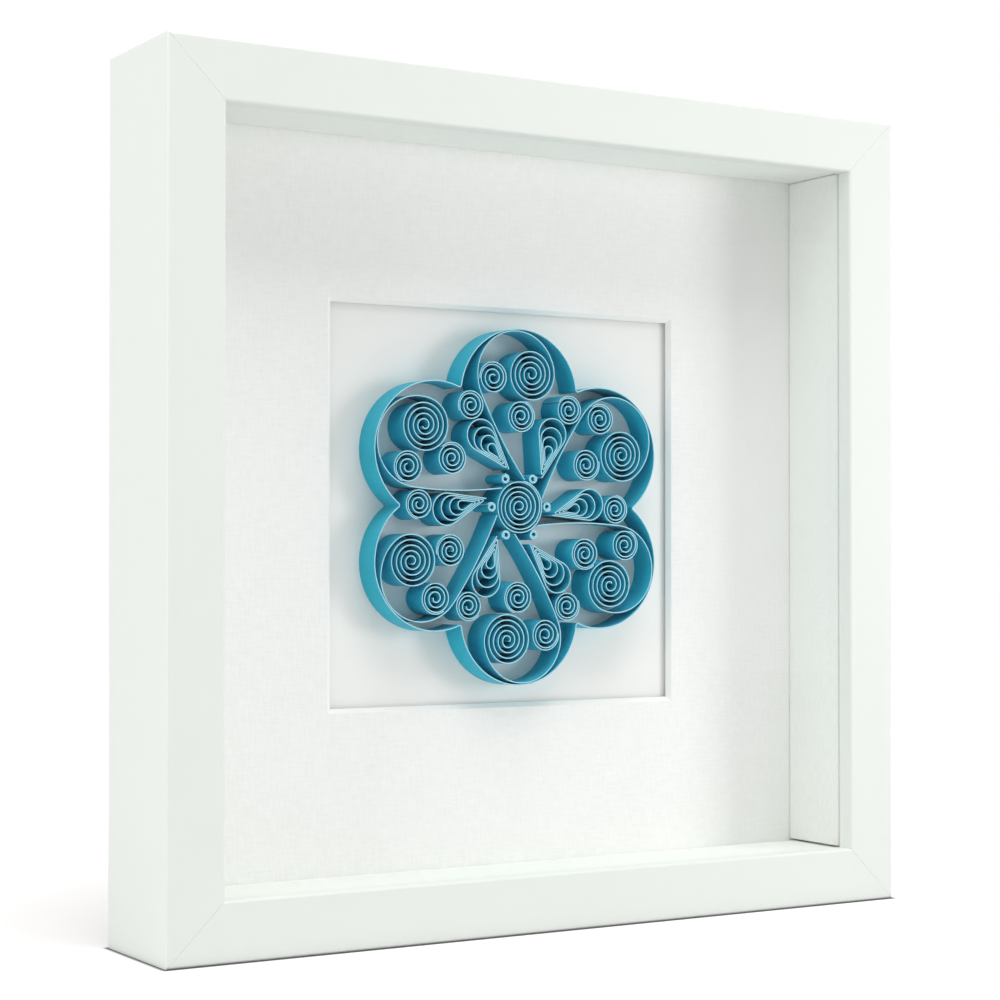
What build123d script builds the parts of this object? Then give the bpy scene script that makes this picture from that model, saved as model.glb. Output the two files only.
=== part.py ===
"""A square white box frame, 25 cm a side, with a quilled paper rosette behind its mat.

Millimetres, +Z up. The frame stands on its lower rail and faces -Y. The origin is the middle of its
footprint. Depths run along Y, from the front of the lip to the back of the rails.
"""

import os
from math import acos, asin, atan2, ceil, cos, degrees, pi, radians, sin, sqrt, tan

from build123d import *

# Frame
OUTER = 250.0           # outside of the square frame
FACE_W = 17.0           # width of the face round the opening
LIP_T = 5.8             # lip in front of the pane, front to back
LIP_W = 7.0             # how far the lip covers the pane
EDGE_R = 0.8            # eased edges of the face

# Sheets and strips behind the lip, front to back
PANE_T = 1.2
SPACER_DEPTH = 25.7     # holds the mat away from the pane
SPACER_SETBACK = 0.6    # spacer strips lie this far back from the lip's edge
SPACER_FIT = 0.1
SPACER_SHORT = 0.5      # side strips are cut this much short of the gap they fill
MAT_T = 1.4
MAT_BEVEL = 45.0        # slant of the window's cut edge, in degrees
WINDOW = 119.5          # window at the back of the mat
TAPE_T = 1.2            # foam tape that holds the mat off the card
TAPE_W = 12.0
TAPE_INSET = 20.0       # from the window's edge to the tape
CARD_T = 0.8
BOARD_T = 2.5
BACK_RECESS = 3.4       # from the back board to the back of the rails
SHEET_FIT = 0.5         # play round the pane, mat, card and board

# Flat steel points, pressed into the rails behind the back board
POINTS_PER_RAIL = 2
POINT_SPREAD = 120.0
POINT_L = 16.0
POINT_W = 8.0
POINT_T = 0.5
POINT_BITE = 6.0
POINT_FIT = 0.05

# Nails of V section across the mitres, driven from the back
V_NAIL_INSET = 3.5      # from the outer faces to the nail's corner
V_NAIL_LEG = 5.0
V_NAIL_T = 0.5
V_NAIL_DEPTH = 10.0
V_NAIL_FIT = 0.05

# Sawtooth hanger, riveted to the back board
HANGER_L = 46.0
HANGER_W = 10.0
HANGER_T = 0.8
HANGER_TAB = 9.0        # flat end that carries a rivet
HANGER_RISE = 1.6       # middle stands this far off the board
HANGER_DROP = 22.0      # from the board's upper edge to the middle of the hanger
TOOTH_PITCH = 3.0
TOOTH_DEPTH = 1.6
RIVET_R = 1.5           # shank, flush with the front of the board
RIVET_HEAD_R = 2.6
RIVET_HEAD_T = 1.0
RIVET_FIT = 0.1
RIVET_SIDES = 12        # small rounds are drawn with this many sides

# Quilled strips, standing on edge on the card
STRIP_T = 0.35
STRIP_H = 10.0
GLUE_GAP = 0.08         # between two strips that are glued side to side
CHORD_SAG = 0.23        # strips bend in short flats, this far off the true curve
CHORD_TURN = 45.0       # and no flat turns by more than this many degrees

# Rosette: one arm is drawn along +X from the centre, then repeated
ARMS = 6
FIRST_ARM = 90.0        # bearing of the first arm
ROSETTE_MARGIN = 5.75   # from the window's edge to the outline
FOLD_R = 0.7            # fold of the outline between two scallops
FOLD_DEPTH = 12.0       # from the scallops' tops in to the middle of the fold
HUB_R = 8.0
HUB_TURNS = 5.5
LOOP_R = 13.6           # wide loop of a scroll, inside its scallop
LOOP_BEARING = 10.0     # where the loop touches the scallop
SCROLL_R = 8.2          # coil that the loop winds into
SCROLL_BEARING = -84.0  # where the coil leaves the loop
SCROLL_TURNS = 4.6
TAIL_BEARING = 114.0    # where the tail runs into the loop
HUB_BEARING = -12.0     # where the tail meets the hub
SMALL_R = 4.8           # small coil against a scroll's coil
SMALL_BEARING = 164.0
SMALL_TURNS = 3.6
FILL_TURNS = 3.4        # coil that fills the wide loop beside the scroll's coil
NOTCH_R = 4.4           # coil behind each fold of the outline
NOTCH_BACK = 2.2        # how far down the tail it sits
NOTCH_TURNS = 3.4
CORE_R = 0.8            # eye of a loose coil
DROP_R = 4.8            # round end of a drop
DROP_REACH = 14.0       # from a drop's tip to the middle of its round end
DROP_LOOPS = 4
DROP_GAP = 0.15         # between the flanks of nested loops
DROP_CORE = 0.3         # share of a loop left open inside the last one
PEG_R = 1.6             # tight coil beside the hub
PEG_EYE = 0.45
PEG_BEARING = 31.0

# Places that follow from the sizes above
WALL_T = FACE_W - LIP_W
SPACER_T = LIP_W - SPACER_SETBACK - SPACER_FIT
BAY = OUTER - 2 * WALL_T                    # clear width inside the rebate
SHEET = BAY - 2 * SHEET_FIT
MIDDLE = OUTER / 2                          # height of the centre
DEPTH = LIP_T + PANE_T + SPACER_DEPTH + MAT_T + TAPE_T + CARD_T + BOARD_T + BACK_RECESS
FRONT_Y = -DEPTH / 2
PANE_Y = FRONT_Y + LIP_T
SPACER_Y = PANE_Y + PANE_T
MAT_Y = SPACER_Y + SPACER_DEPTH
TAPE_Y = MAT_Y + MAT_T
CARD_Y = TAPE_Y + TAPE_T
BOARD_Y = CARD_Y + CARD_T
POINT_Y = BOARD_Y + BOARD_T
BACK_Y = DEPTH / 2
STRIP_FIT = STRIP_T + GLUE_GAP              # between the middles of two glued strips
REACH = WINDOW / 2 - ROSETTE_MARGIN         # middle of the outline strip at a scallop's top
ARM_TURN = 360.0 / ARMS
FOLD_REACH = REACH - FOLD_DEPTH             # middle of a fold
FOLD_ALONG = FOLD_REACH * cos(radians(ARM_TURN / 2))
LOBE_R = (                                  # scallop that runs into the folds on both its sides
    (FOLD_REACH ** 2 - 2 * FOLD_ALONG * REACH + REACH ** 2 - FOLD_R ** 2)
    / (2 * (REACH + FOLD_R - FOLD_ALONG))
)


def block(x0, x1, y0, y1, z0, z1):
    """Box between two corners."""
    return Pos((x0 + x1) / 2, (y0 + y1) / 2, (z0 + z1) / 2) * Box(x1 - x0, y1 - y0, z1 - z0)


def slab(face, y_front, y_back):
    """Flat shape in the X-Z plane, thickened from y_front to y_back."""
    return extrude(Plane.XZ.offset(-y_back) * face, amount=y_back - y_front)


def outline_face(points):
    """Flat face inside a closed run of points."""
    return make_face(Polyline(*points, close=True))


def round_frame(shape, quarter):
    """Shape turned about the frame's middle by quarter turns, from the lower side to the left one."""
    return Pos(0, 0, MIDDLE) * Rot(0, 90 * quarter, 0) * Pos(0, 0, -MIDDLE) * shape


# Frame and its fixings

def steel_points(grow=0.0):
    """Flat points along the lower rail, or the slots for them when they are grown."""
    step = POINT_SPREAD / (POINTS_PER_RAIL - 1)
    places = [i * step - POINT_SPREAD / 2 for i in range(POINTS_PER_RAIL)]
    foot = WALL_T - POINT_BITE
    return [
        block(x - POINT_W / 2 - grow, x + POINT_W / 2 + grow, POINT_Y - grow, POINT_Y + POINT_T + grow,
              foot - grow, foot + POINT_L)
        for x in places
    ]


def corner_nail(grow=0.0):
    """V nail across the lower left mitre, or its slot when it is grown."""
    low = V_NAIL_INSET - grow
    thick = V_NAIL_INSET + V_NAIL_T + grow
    end = V_NAIL_INSET + V_NAIL_LEG + grow
    points = [(low, low), (end, low), (end, thick), (thick, thick), (thick, end), (low, end)]
    corner = Pos(-OUTER / 2, 0, 0)
    return corner * slab(outline_face(points), BACK_Y - V_NAIL_DEPTH - grow, BACK_Y)


def frame_rail():
    """Lower rail: an L section, mitred at both ends, slotted for its points and corner nails."""
    section = outline_face([
        (FRONT_Y, 0), (BACK_Y, 0), (BACK_Y, WALL_T), (PANE_Y, WALL_T), (PANE_Y, FACE_W), (FRONT_Y, FACE_W),
    ])
    bar = extrude(Plane.YZ * section, amount=OUTER / 2, both=True)
    face_edges = bar.edges().filter_by(Axis.X).group_by(Axis.Y)[0]
    bar = fillet(face_edges, EDGE_R)
    half = OUTER / 2
    mitre = outline_face([(-half, 0), (half, 0), (half - FACE_W, FACE_W), (FACE_W - half, FACE_W)])
    rail = bar & slab(mitre, FRONT_Y, BACK_Y)
    for slot in steel_points(POINT_FIT):
        rail = rail - slot
    left_nail = corner_nail(V_NAIL_FIT)
    return rail - left_nail - mirror(left_nail, about=Plane.YZ)


def spacer_strips():
    """Four strips lining the rebate: two run the full width, two stand between them."""
    end = BAY / 2 - SPACER_FIT
    low = WALL_T + SPACER_FIT
    side_top = OUTER - low - SPACER_T
    side_foot = low + SPACER_T + SPACER_SHORT
    bottom = block(-end, end, SPACER_Y, MAT_Y, low, low + SPACER_T)
    top = block(-end, end, SPACER_Y, MAT_Y, side_top, side_top + SPACER_T)
    left = block(-end, SPACER_T - end, SPACER_Y, MAT_Y, side_foot, side_top)
    return {
        "bottom_spacer": bottom,
        "top_spacer": top,
        "left_spacer": left,
        "right_spacer": mirror(left, about=Plane.YZ),
    }


def sheet(y_front, thickness):
    """Square sheet that fills the rebate with a little play."""
    return slab(Pos(0, MIDDLE) * Rectangle(SHEET, SHEET), y_front, y_front + thickness)


def window_mat():
    """Mat board with a square window, its cut edges slanting open towards the front."""
    window = Plane.XZ.offset(-TAPE_Y) * Pos(0, MIDDLE) * Rectangle(WINDOW, WINDOW)
    return sheet(MAT_Y, MAT_T) - extrude(window, amount=MAT_T, taper=-MAT_BEVEL)


def foam_tape():
    """Strip of foam tape below the window, out of sight behind the mat."""
    edge = WINDOW / 2 + TAPE_INSET
    top = MIDDLE - edge
    return block(-edge, edge, TAPE_Y, CARD_Y, top - TAPE_W, top)


# Back board and hanger

def hanger_rivets(grow=0.0):
    """Rivets through the hanger's tabs and the board, or their holes when they are grown."""
    head_y = POINT_Y + HANGER_T
    shank = RegularPolygon(RIVET_R + grow, RIVET_SIDES)
    head = RegularPolygon(RIVET_HEAD_R + grow, RIVET_SIDES)
    rivet = slab(shank, BOARD_Y, head_y) + slab(head, head_y, head_y + RIVET_HEAD_T)
    side = (HANGER_L - HANGER_TAB) / 2
    height = MIDDLE + SHEET / 2 - HANGER_DROP
    return [Pos(x, 0, height) * rivet for x in (-side, side)]


def sawtooth_hanger():
    """Strip bent off the board in the middle, with teeth along the middle's lower edge."""
    bend = HANGER_L / 2 - HANGER_TAB
    rise = [(-HANGER_L / 2, 0), (-bend, 0), (HANGER_RISE - bend, HANGER_RISE)]
    near = rise + [(-x, y) for x, y in reversed(rise)]
    far = [(x, y + HANGER_T) for x, y in reversed(near)]
    foot = MIDDLE + SHEET / 2 - HANGER_DROP - HANGER_W / 2
    hanger = Pos(0, POINT_Y, foot) * extrude(outline_face(near + far), amount=HANGER_W)
    teeth_each_side = int((bend - 2 * HANGER_RISE) / TOOTH_PITCH)
    for i in range(-teeth_each_side, teeth_each_side + 1):
        x = i * TOOTH_PITCH
        notch = [(x - TOOTH_PITCH / 2, foot), (x, foot + TOOTH_DEPTH), (x + TOOTH_PITCH / 2, foot)]
        hanger = hanger - slab(outline_face(notch), POINT_Y, BACK_Y)
    for hole in hanger_rivets(RIVET_FIT):
        hanger = hanger - hole
    return hanger


def back_board():
    """Hardboard that closes the back, drilled for the rivets."""
    board = sheet(BOARD_Y, BOARD_T)
    for hole in hanger_rivets(RIVET_FIT):
        board = board - hole
    return board


# Paths of the quilled strips, as points in a plane with +X along the arm

def polar(radius, bearing, centre=(0.0, 0.0)):
    """Point at a distance and bearing from a centre."""
    return (centre[0] + radius * cos(radians(bearing)), centre[1] + radius * sin(radians(bearing)))


def chord_turn(radius):
    """Turn of one flat of a strip bent to this radius."""
    return min(CHORD_TURN, degrees(2 * acos(1 - min(CHORD_SAG / radius, 1.0))))


def arc(centre, radius, start, *stops):
    """Points along an arc from one bearing to the next, in even flats, with a corner at each bearing."""
    points = [polar(radius, start, centre)]
    for stop in stops:
        flats = ceil(abs(stop - start) / chord_turn(radius))
        turn = (stop - start) / flats
        points += [polar(radius, start + turn * (i + 1), centre) for i in range(flats)]
        start = stop
    return points


def loose_coil(centre, radius, turns, start, closed=True):
    """Points of a coil that winds in clockwise; a closed one has its first turn glued to itself."""
    even = (radius - CORE_R) / turns
    first_drop = STRIP_FIT if closed else even
    flats = ceil(360.0 / chord_turn(radius))
    inner_r = radius - first_drop
    points = []
    for i in range(flats):
        points.append(polar(radius - first_drop * i / flats, start - 360.0 * i / flats, centre))
    wound = 0.0
    while wound < 360.0 * (turns - 1):
        reach = inner_r - (inner_r - CORE_R) * wound / (360.0 * (turns - 1))
        points.append(polar(reach, start - wound, centre))
        wound += chord_turn(reach)
    return points


def join(*runs):
    """One run of points from several that follow on, without doubled points."""
    points = list(runs[0])
    for run in runs[1:]:
        points += run[1:]
    return points


def tail_arc(start, end, bearing):
    """Gentle arc from start that runs tangent into a loop at end, at this bearing from the loop's middle."""
    away = polar(1.0, bearing)
    span = (end[0] - start[0], end[1] - start[1])
    radius = (span[0] ** 2 + span[1] ** 2) / (2 * (span[0] * away[0] + span[1] * away[1]))
    middle = (end[0] - radius * away[0], end[1] - radius * away[1])
    first = degrees(atan2(start[1] - middle[1], start[0] - middle[0]))
    last = degrees(atan2(end[1] - middle[1], end[0] - middle[0]))
    sweep = (last - first + 180.0) % 360.0 - 180.0
    return arc(middle, abs(radius), first, first + sweep)


def run_on(first, second):
    """Point as far past the second as the first is before it."""
    return (2 * second[0] - first[0], 2 * second[1] - first[1])


def beside(points, distance, closed):
    """Run of points at a distance to the left of another one."""
    before = points[-1] if closed else run_on(points[1], points[0])
    after = points[0] if closed else run_on(points[-2], points[-1])
    padded = [before, *points, after]
    moved = []
    for last, (x, y), following in zip(padded, points, padded[2:]):
        into = atan2(y - last[1], x - last[0])
        out = atan2(following[1] - y, following[0] - x)
        half = ((out - into + pi) % (2 * pi) - pi) / 2
        reach = distance / cos(half)
        moved.append((x - reach * sin(into + half), y + reach * cos(into + half)))
    return moved


def strip(points, closed=False):
    """Paper strip standing on the card along a run of points, about the centre of the rosette."""
    left = beside(points, STRIP_T / 2, closed)
    right = beside(points, -STRIP_T / 2, closed)
    if closed:
        face = outline_face(right) - outline_face(left)
    else:
        face = outline_face(left + right[::-1])
    return slab(face, CARD_Y - STRIP_H, CARD_Y)


# Pieces of the rosette

class Arm:
    """Middles and bearings that the pieces of one arm share."""

    lobe = (REACH - LOBE_R, 0.0)
    loop = polar(LOBE_R - STRIP_FIT - LOOP_R, LOOP_BEARING, lobe)
    scroll = polar(LOOP_R - SCROLL_R, SCROLL_BEARING, loop)
    tail_top = polar(LOOP_R, TAIL_BEARING, loop)
    tail_foot = polar(HUB_R + STRIP_FIT, HUB_BEARING)
    down_tail = TAIL_BEARING + 90.0


def beside_tail(radius, back):
    """Middle of a round piece that touches the outer side of the tail, this far down it."""
    return polar(back, Arm.down_tail, polar(radius + STRIP_FIT, TAIL_BEARING, Arm.tail_top))


def outline_strip():
    """Closed strip of scallops, folded in between each two."""
    half = ARM_TURN / 2
    fold = polar(FOLD_REACH, half)
    spread = degrees(atan2(fold[1], fold[0] - Arm.lobe[0]))
    inward = spread + 180.0
    points = []
    for i in range(ARMS):
        turn = i * ARM_TURN
        lobe = polar(Arm.lobe[0], turn)
        notch = polar(FOLD_REACH, half + turn)
        points += arc(lobe, LOBE_R, turn - spread, turn + LOOP_BEARING, turn + spread)[:-1]
        points += arc(notch, FOLD_R, turn + inward, turn + inward + 2 * (half - spread))[:-1]
    return strip(points, closed=True)


def scroll_strip():
    """Tail from the hub, round the wide loop and into the coil."""
    tail = tail_arc(Arm.tail_foot, Arm.tail_top, TAIL_BEARING)
    loop = arc(Arm.loop, LOOP_R, TAIL_BEARING, LOOP_BEARING, SCROLL_BEARING)
    coil = loose_coil(Arm.scroll, SCROLL_R, SCROLL_TURNS, SCROLL_BEARING, closed=False)
    return strip(join(tail, loop, coil))


def small_coil():
    """Loose coil against the inner side of a scroll's coil."""
    centre = polar(SCROLL_R + SMALL_R + STRIP_FIT, SMALL_BEARING, Arm.scroll)
    return strip(loose_coil(centre, SMALL_R, SMALL_TURNS, SMALL_BEARING + 180.0))


def fill_coil():
    """Loose coil that fills the rest of a wide loop, across from its scroll's coil."""
    across = SCROLL_BEARING + 180.0
    radius = LOOP_R - SCROLL_R - STRIP_FIT - CHORD_SAG
    return strip(loose_coil(polar(SCROLL_R, across, Arm.loop), radius, FILL_TURNS, across))


def notch_coil():
    """Loose coil on the tail, behind a fold of the outline."""
    centre = beside_tail(NOTCH_R, NOTCH_BACK)
    return strip(loose_coil(centre, NOTCH_R, NOTCH_TURNS, TAIL_BEARING))


def drop():
    """Nested loops pinched to a tip, lying between the tail and the notch coil."""
    apart = NOTCH_R + DROP_R + STRIP_FIT
    back = NOTCH_BACK + sqrt(apart ** 2 - (DROP_R - NOTCH_R) ** 2)
    lean = degrees(asin(DROP_R / DROP_REACH))
    axis = Arm.down_tail + 180.0 + lean
    tip = polar(-DROP_REACH, axis, beside_tail(DROP_R, back))
    step = (STRIP_T + DROP_GAP) / sin(radians(lean))
    aside = step / 2 * tan(radians(lean))
    points = [tip]
    for i in range(DROP_LOOPS):
        size = 1 - i / (DROP_LOOPS + DROP_CORE)
        round_end = polar(step * i + DROP_REACH * size, axis, tip)
        points += arc(round_end, DROP_R * size, axis - 90.0 - lean, axis + 90.0 + lean)
        points.append(polar(aside, axis + 90.0, polar(step * (i + 0.5), axis, tip)))
    return strip(points)


def peg():
    """Tight coil with a pin hole, beside the hub."""
    centre = polar(HUB_R + PEG_R + STRIP_T / 2 + GLUE_GAP, PEG_BEARING)
    rim = outline_face(arc(centre, PEG_R, 0.0, 360.0)[:-1])
    eye = outline_face(arc(centre, PEG_EYE, 0.0, 360.0)[:-1])
    return slab(rim - eye, CARD_Y - STRIP_H, CARD_Y)


def on_card(piece, bearing):
    """Piece of the rosette turned to its bearing and set at the window's middle."""
    return Pos(0, 0, MIDDLE) * Rot(0, -bearing, 0) * piece


def build():
    """All pieces by node name."""
    rail = frame_rail()
    sides = ("bottom", "left", "top", "right")
    pieces = {f"{side}_rail": round_frame(rail, i) for i, side in enumerate(sides)}
    pieces.update(spacer_strips())
    pieces["front_pane"] = sheet(PANE_Y, PANE_T)
    pieces["window_mat"] = window_mat()
    pieces["foam_tape"] = Compound(children=[round_frame(foam_tape(), i) for i in range(len(sides))])
    pieces["art_card"] = sheet(CARD_Y, CARD_T)
    pieces["back_board"] = back_board()
    pieces["steel_points"] = Compound(children=[
        round_frame(point, i) for i in range(len(sides)) for point in steel_points()
    ])
    pieces["corner_nails"] = Compound(children=[round_frame(corner_nail(), i) for i in range(len(sides))])
    pieces["sawtooth_hanger"] = sawtooth_hanger()
    pieces["hanger_rivets"] = Compound(children=hanger_rivets())
    pieces["outline_strip"] = on_card(outline_strip(), FIRST_ARM)
    pieces["centre_coil"] = on_card(strip(loose_coil((0.0, 0.0), HUB_R, HUB_TURNS, HUB_BEARING)), FIRST_ARM)
    arm = {
        "scroll": scroll_strip(),
        "small_coil": small_coil(),
        "fill_coil": fill_coil(),
        "notch_coil": notch_coil(),
        "drop": drop(),
        "peg": peg(),
    }
    for i in range(ARMS):
        for name, piece in arm.items():
            pieces[f"{name}_{i + 1}"] = on_card(piece, FIRST_ARM + i * ARM_TURN)
    return pieces


os.makedirs("parts", exist_ok=True)
for node, shape in build().items():
    export_step(shape, f"parts/{node}.step")
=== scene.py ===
"""Looks of a white box frame with a quilled paper rosette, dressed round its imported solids.

The scene is in metres. Sizes of pieces are written in millimetres and scaled by MM where they are used.
The frame stands on its lower rail and faces -Y, as the solids do.
"""

import logging
from dataclasses import dataclass, field
from enum import Enum
from functools import cache
from math import asin, atan2, ceil, cos, degrees, radians, sin, sqrt, tan

import bmesh
import bpy
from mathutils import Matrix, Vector, noise


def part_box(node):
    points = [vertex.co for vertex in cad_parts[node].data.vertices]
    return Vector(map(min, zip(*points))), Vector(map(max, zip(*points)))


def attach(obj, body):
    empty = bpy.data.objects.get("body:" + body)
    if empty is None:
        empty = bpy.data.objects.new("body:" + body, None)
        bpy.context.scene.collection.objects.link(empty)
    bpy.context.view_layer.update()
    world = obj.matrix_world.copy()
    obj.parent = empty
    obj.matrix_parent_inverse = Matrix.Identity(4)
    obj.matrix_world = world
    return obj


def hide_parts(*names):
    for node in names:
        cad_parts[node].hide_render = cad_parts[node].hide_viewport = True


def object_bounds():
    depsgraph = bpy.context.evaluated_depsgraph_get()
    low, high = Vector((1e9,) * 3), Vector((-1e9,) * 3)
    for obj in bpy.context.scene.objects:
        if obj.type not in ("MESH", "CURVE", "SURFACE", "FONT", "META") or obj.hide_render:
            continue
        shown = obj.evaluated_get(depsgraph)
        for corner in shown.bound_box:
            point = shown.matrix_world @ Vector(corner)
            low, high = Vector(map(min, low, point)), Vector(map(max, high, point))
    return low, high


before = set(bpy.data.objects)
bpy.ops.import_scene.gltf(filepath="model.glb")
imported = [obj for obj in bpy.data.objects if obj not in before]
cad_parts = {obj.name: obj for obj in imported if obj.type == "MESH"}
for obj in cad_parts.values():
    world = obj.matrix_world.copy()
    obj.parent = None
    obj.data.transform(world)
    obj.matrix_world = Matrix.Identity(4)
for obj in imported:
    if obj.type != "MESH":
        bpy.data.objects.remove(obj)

CAD_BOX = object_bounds()
MM = 0.001
BODY = "root"
PHOTO_SIDE = 1000           # pixels along each side of the image
WELD = 0.001                # points nearer to each other than this are one, in millimetres
FLAT_TURN = 0.5             # faces that turn by less than this are one, in degrees
FACING = 0.5                # a face looks a way if its normal goes that way by more than this
ARC_TURN = 5.0              # most that an arc turns between two points, in degrees
ARC_STEP = 1.2              # most that an arc runs between two points, in millimetres
LOG = logging.getLogger("box_frame")

Point = tuple[float, float]
Place = tuple[float, float, float]
Path = list[Point]
Colour = tuple[float, float, float, float]


class Slot(Enum):
    """Material slots of the part's record that new pieces belong to."""

    FRAME = "frame_white"
    SPACER = "spacer_white"
    MAT = "mat_white"
    STEEL = "steel"
    PAPER = "quilling_paper"


class Side(Enum):
    """Sides of the frame, each with the axis that its rail runs along."""

    BOTTOM = ("bottom", 0)
    LEFT = ("left", 2)
    TOP = ("top", 0)
    RIGHT = ("right", 2)


def shade(red: int, green: int, blue: int) -> Colour:
    """Scene colour of a screen colour.

    Args:
        red: Red, 0 to 255.
        green: Green, 0 to 255.
        blue: Blue, 0 to 255.

    Returns:
        Linear red, green, blue and a full alpha.
    """
    parts = [part / 255 for part in (red, green, blue)]
    linear = [part / 12.92 if part < 0.04045 else ((part + 0.055) / 1.055) ** 2.4 for part in parts]
    return (*linear, 1.0)


# Shader trees

class Wiring:
    """Adds nodes to one shader tree and joins them."""

    def __init__(self, tree: bpy.types.NodeTree) -> None:
        """Take the tree that the nodes go into."""
        self.tree = tree

    def feed(self, socket: bpy.types.NodeSocket, value: object) -> None:
        """Set an input, or join it to another node's output.

        Args:
            socket: The input.
            value: A plain value, or the output that feeds it.
        """
        if isinstance(value, bpy.types.NodeSocket):
            self.tree.links.new(value, socket)
        else:
            socket.default_value = value

    def add(self, kind: str, options: dict[str, object] | None = None, **inputs: object) -> bpy.types.Node:
        """Add one node.

        Args:
            kind: Blender's name for the type of node.
            options: Properties of the node itself.
            **inputs: Values or outputs for its inputs, with an underscore for each space.

        Returns:
            The new node.
        """
        node = self.tree.nodes.new(kind)
        for name, value in (options or {}).items():
            setattr(node, name, value)
        for name, value in inputs.items():
            self.feed(node.inputs[name.replace("_", " ")], value)
        return node

    def math(self, operation: str, first: object, second: object) -> bpy.types.NodeSocket:
        """Output of a two-number sum.

        Args:
            operation: Blender's name of the operation.
            first: First value or output.
            second: Second value or output.

        Returns:
            The result's output.
        """
        node = self.add("ShaderNodeMath", {"operation": operation})
        self.feed(node.inputs[0], first)
        self.feed(node.inputs[1], second)
        return node.outputs[0]

    def swing(self, value: object, middle: object, reach: object) -> bpy.types.NodeSocket:
        """Value of 0 to 1 spread about a middle.

        Args:
            value: Value or output of 0 to 1.
            middle: What a value of one half gives.
            reach: How far the result goes each way.

        Returns:
            The result's output.
        """
        centred = self.math("MULTIPLY_ADD", value, 2.0)
        centred.node.inputs[2].default_value = -1.0
        return self.math("ADD", self.math("MULTIPLY", centred, reach), middle)

    def vector(self, operation: str, first: object, second: object) -> bpy.types.NodeSocket:
        """Output of a two-vector sum.

        Args:
            operation: Blender's name of the operation.
            first: First vector or output.
            second: Second vector or output, or the factor of a SCALE.

        Returns:
            The result's output.
        """
        node = self.add("ShaderNodeVectorMath", {"operation": operation})
        self.feed(node.inputs[0], first)
        self.feed(node.inputs["Scale" if operation == "SCALE" else 1], second)
        return node.outputs[0]

    def length(self, vector: bpy.types.NodeSocket) -> bpy.types.NodeSocket:
        """Output of a vector's length.

        Args:
            vector: The vector's output.

        Returns:
            The length's output.
        """
        node = self.add("ShaderNodeVectorMath", {"operation": "LENGTH"})
        self.feed(node.inputs[0], vector)
        return node.outputs["Value"]

    def place(self, group: bpy.types.NodeTree, **inputs: object) -> bpy.types.Node:
        """Put a shared node group into this tree with its own values.

        Args:
            group: The group.
            **inputs: Values or outputs for its inputs, with an underscore for each space.

        Returns:
            The placed group.
        """
        node = self.add("ShaderNodeGroup", {"node_tree": group})
        for name, value in inputs.items():
            self.feed(node.inputs[name.replace("_", " ")], value)
        return node

    def surface(self, shader: bpy.types.NodeSocket) -> None:
        """Send a shader to the material's surface."""
        self.add("ShaderNodeOutputMaterial", Surface=shader)

    def bump(self, height: bpy.types.NodeSocket, depth: float) -> bpy.types.NodeSocket:
        """Normal of a surface with relief.

        Args:
            height: Height of the relief, 0 to 1.
            depth: What a height of 1 stands for, in millimetres.

        Returns:
            The normal's output.
        """
        return self.add("ShaderNodeBump", Height=height, Distance=depth * MM, Strength=1.0).outputs["Normal"]


class SharedEffects:
    """Node groups that several finishes use, each built once."""

    def __init__(self) -> None:
        """Build the groups."""
        self.mottle = self.build_mottle()
        self.fibres = self.build_fibres()

    @staticmethod
    def start(name: str, inputs: dict[str, str], outputs: dict[str, str]) -> tuple[Wiring, dict, dict]:
        """Begin a group.

        Args:
            name: The group's name.
            inputs: Kind of socket for each input.
            outputs: Kind of socket for each output.

        Returns:
            The wiring of the group, its inputs by name, and the sockets to send its outputs to.
        """
        tree = bpy.data.node_groups.new(name, "ShaderNodeTree")
        for sockets, way in ((inputs, "INPUT"), (outputs, "OUTPUT")):
            for label, kind in sockets.items():
                tree.interface.new_socket(name=label, in_out=way, socket_type=f"NodeSocket{kind}")
        wiring = Wiring(tree)
        given = wiring.add("NodeGroupInput").outputs
        sent = wiring.add("NodeGroupOutput").inputs
        return wiring, {label: given[label] for label in inputs}, {label: sent[label] for label in outputs}

    def build_mottle(self) -> bpy.types.NodeTree:
        """Build the group that clouds a colour and its roughness a little.

        Returns:
            The group.
        """
        wiring, given, sent = self.start(
            "cloudy tone",
            {"Vector": "Vector", "Colour": "Color", "Scale": "Float", "Amount": "Float",
             "Roughness": "Float", "Rough Swing": "Float"},
            {"Colour": "Color", "Roughness": "Float"},
        )
        clouds = wiring.add("ShaderNodeTexNoise", Vector=given["Vector"], Scale=given["Scale"], Detail=2.0,
                            Roughness=0.6).outputs["Fac"]
        tone = wiring.swing(clouds, 1.0, given["Amount"])
        wiring.feed(sent["Colour"], wiring.vector("SCALE", given["Colour"], tone))
        wiring.feed(sent["Roughness"], wiring.swing(clouds, given["Roughness"], given["Rough Swing"]))
        return wiring.tree

    def build_fibres(self) -> bpy.types.NodeTree:
        """Build the group of fine streaks, longer one way than across.

        Returns:
            The group.
        """
        wiring, given, sent = self.start(
            "fine streaks",
            {"Vector": "Vector", "Streaks": "Vector", "Sharpness": "Float"},
            {"Height": "Float"},
        )
        stretched = wiring.vector("MULTIPLY", given["Vector"], given["Streaks"])
        streaks = wiring.add("ShaderNodeTexNoise", Vector=stretched, Scale=1.0, Detail=2.0,
                             Roughness=given["Sharpness"])
        wiring.feed(sent["Height"], streaks.outputs["Fac"])
        return wiring.tree


EFFECTS = SharedEffects()


# Finishes

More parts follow.
